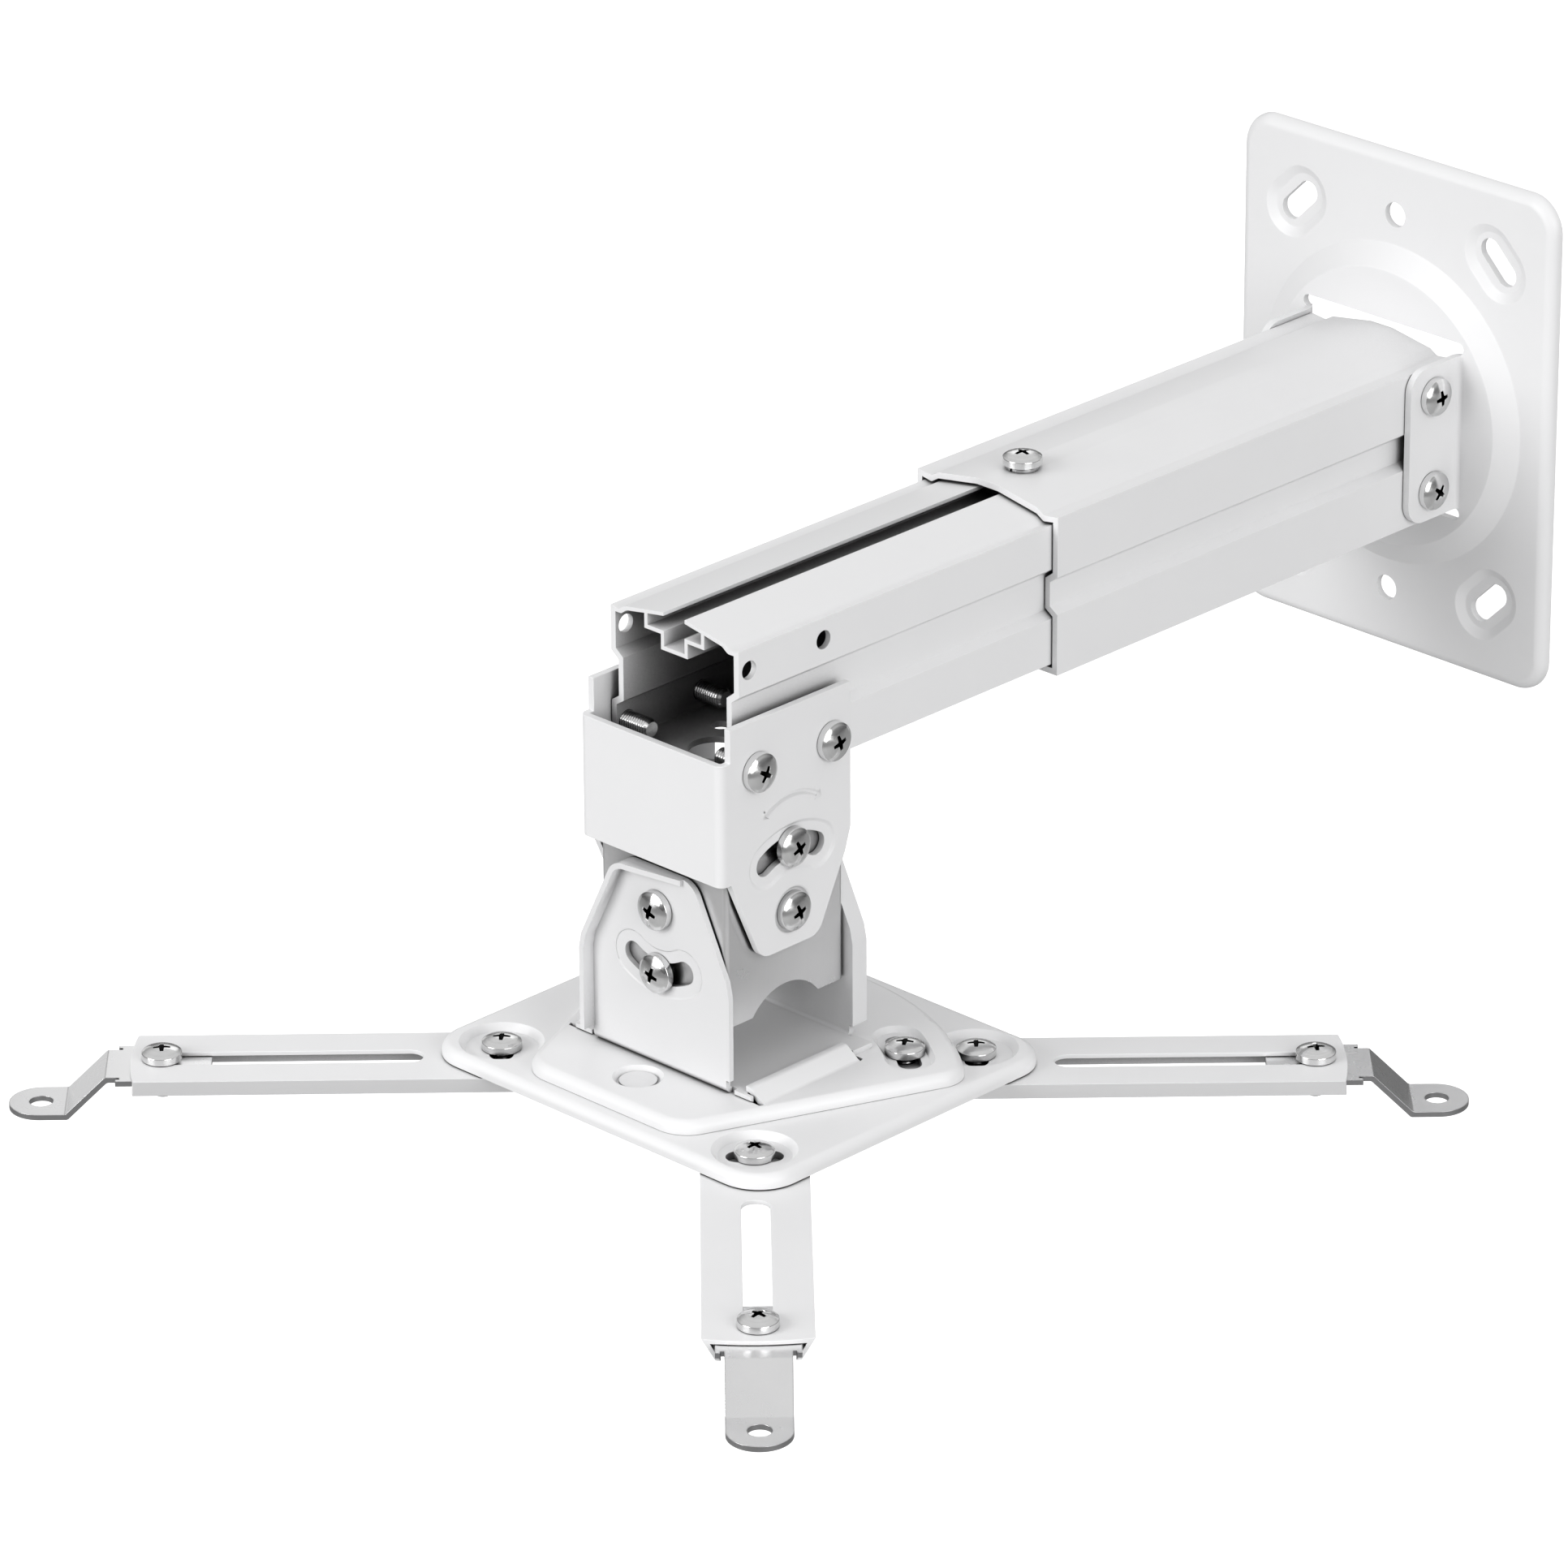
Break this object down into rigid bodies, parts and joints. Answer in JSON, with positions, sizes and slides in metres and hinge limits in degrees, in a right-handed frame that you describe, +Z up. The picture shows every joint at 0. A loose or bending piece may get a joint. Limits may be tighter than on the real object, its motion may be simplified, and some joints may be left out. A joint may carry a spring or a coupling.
{
  "type": "projector mount",
  "caption": "Telescopic projector mount set up as a wall arm: pressed wall plate, sliding tube, tilting and rolling head, and four swinging, extending arms.",
  "frame": {"origin": "centre of the wall plate's back face, halfway between its two round holes", "axes": "+Y into the wall, -Y along the arm away from it, +Z up, +X to the right"},
  "size_m": [0.2746, 0.3879, 0.1923],
  "materials": {
    "white_coat": "fine white powder coat, satin",
    "zinc_steel": "zinc-plated sheet steel, matt",
    "screw_steel": "nickel-plated machine screws"
  },
  "bodies": {
    "wall_mount": {"wall_plate": "white_coat", "outer_tube": "white_coat", "wall_tab_screws": "screw_steel", "clamp_screw": "screw_steel", "clamp_washer": "screw_steel", "channel_nut": "zinc_steel"},
    "extension": {"inner_tube": "white_coat", "upper_bracket": "white_coat", "bracket_tube_screws": "screw_steel"},
    "tilt_box": {"middle_box": "zinc_steel", "tilt_pivot_screws": "screw_steel", "tilt_lock_screws": "screw_steel", "roll_pivot_screws": "screw_steel", "roll_lock_screws": "screw_steel"},
    "roll_yoke": {"lower_bracket": "white_coat", "adapter_plate": "white_coat", "adapter_rivet": "white_coat"},
    "spider": {"spider_plate": "white_coat", "yaw_lock_screws": "screw_steel"},
    "carriage_front_left": {"corner_screw_front_left": "screw_steel", "corner_nut_front_left": "zinc_steel"},
    "arm_front_left": {"arm_front_left": "white_coat"},
    "tongue_front_left": {"tongue_front_left": "zinc_steel", "tongue_screw_front_left": "screw_steel"},
    "carriage_front_right": {"corner_screw_front_right": "screw_steel", "corner_nut_front_right": "zinc_steel"},
    "arm_front_right": {"arm_front_right": "white_coat"},
    "tongue_front_right": {"tongue_front_right": "zinc_steel", "tongue_screw_front_right": "screw_steel"},
    "carriage_back_right": {"corner_screw_back_right": "screw_steel", "corner_nut_back_right": "zinc_steel"},
    "arm_back_right": {"arm_back_right": "white_coat"},
    "tongue_back_right": {"tongue_back_right": "zinc_steel", "tongue_screw_back_right": "screw_steel"},
    "carriage_back_left": {"corner_screw_back_left": "screw_steel", "corner_nut_back_left": "zinc_steel"},
    "arm_back_left": {"arm_back_left": "white_coat"},
    "tongue_back_left": {"tongue_back_left": "zinc_steel", "tongue_screw_back_left": "screw_steel"}
  },
  "joints": [
    {"name": "tube_extension", "type": "slide", "parent": "wall_mount", "child": "extension", "axis": [0, -1, 0], "range_m": [-0.075, 0.02]},
    {"name": "head_tilt", "type": "hinge", "parent": "extension", "child": "tilt_box", "pos_m": [0, -0.261, -0.0564], "axis": [1, 0, 0], "range_deg": [-1, 28]},
    {"name": "head_roll", "type": "hinge", "parent": "tilt_box", "child": "roll_yoke", "pos_m": [0, -0.261, -0.0564], "axis": [0, 1, 0], "range_deg": [-15, 15]},
    {"name": "head_swivel", "type": "hinge", "parent": "roll_yoke", "child": "spider", "pos_m": [0, -0.2918, -0.1024], "axis": [0, 0, 1], "range_deg": [-5.5, 5.5]},
    {"name": "shift_front_left", "type": "slide", "parent": "spider", "child": "carriage_front_left", "axis": [0.7071, -0.7071, 0], "range_m": [-0.004, 0.004]},
    {"name": "swing_front_left", "type": "hinge", "parent": "carriage_front_left", "child": "arm_front_left", "pos_m": [-0.04535, -0.296, -0.1081], "axis": [0, 0, 1], "range_deg": [-40, 40]},
    {"name": "reach_front_left", "type": "slide", "parent": "arm_front_left", "child": "tongue_front_left", "axis": [-0.7071, -0.7071, 0], "range_m": [-0.06, 0]},
    {"name": "shift_front_right", "type": "slide", "parent": "spider", "child": "carriage_front_right", "axis": [0.7071, 0.7071, 0], "range_m": [-0.004, 0.004]},
    {"name": "swing_front_right", "type": "hinge", "parent": "carriage_front_right", "child": "arm_front_right", "pos_m": [0.04535, -0.296, -0.1081], "axis": [0, 0, 1], "range_deg": [-40, 40]},
    {"name": "reach_front_right", "type": "slide", "parent": "arm_front_right", "child": "tongue_front_right", "axis": [0.7071, -0.7071, 0], "range_m": [-0.06, 0]},
    {"name": "shift_back_right", "type": "slide", "parent": "spider", "child": "carriage_back_right", "axis": [-0.7071, 0.7071, 0], "range_m": [-0.004, 0.004]},
    {"name": "swing_back_right", "type": "hinge", "parent": "carriage_back_right", "child": "arm_back_right", "pos_m": [0.04535, -0.2152, -0.1081], "axis": [0, 0, 1], "range_deg": [-40, 40]},
    {"name": "reach_back_right", "type": "slide", "parent": "arm_back_right", "child": "tongue_back_right", "axis": [0.7071, 0.7071, 0], "range_m": [-0.06, 0]},
    {"name": "shift_back_left", "type": "slide", "parent": "spider", "child": "carriage_back_left", "axis": [-0.7071, -0.7071, 0], "range_m": [-0.004, 0.004]},
    {"name": "swing_back_left", "type": "hinge", "parent": "carriage_back_left", "child": "arm_back_left", "pos_m": [-0.04535, -0.2152, -0.1081], "axis": [0, 0, 1], "range_deg": [-40, 40]},
    {"name": "reach_back_left", "type": "slide", "parent": "arm_back_left", "child": "tongue_back_left", "axis": [-0.7071, 0.7071, 0], "range_m": [-0.06, 0]}
  ]
}
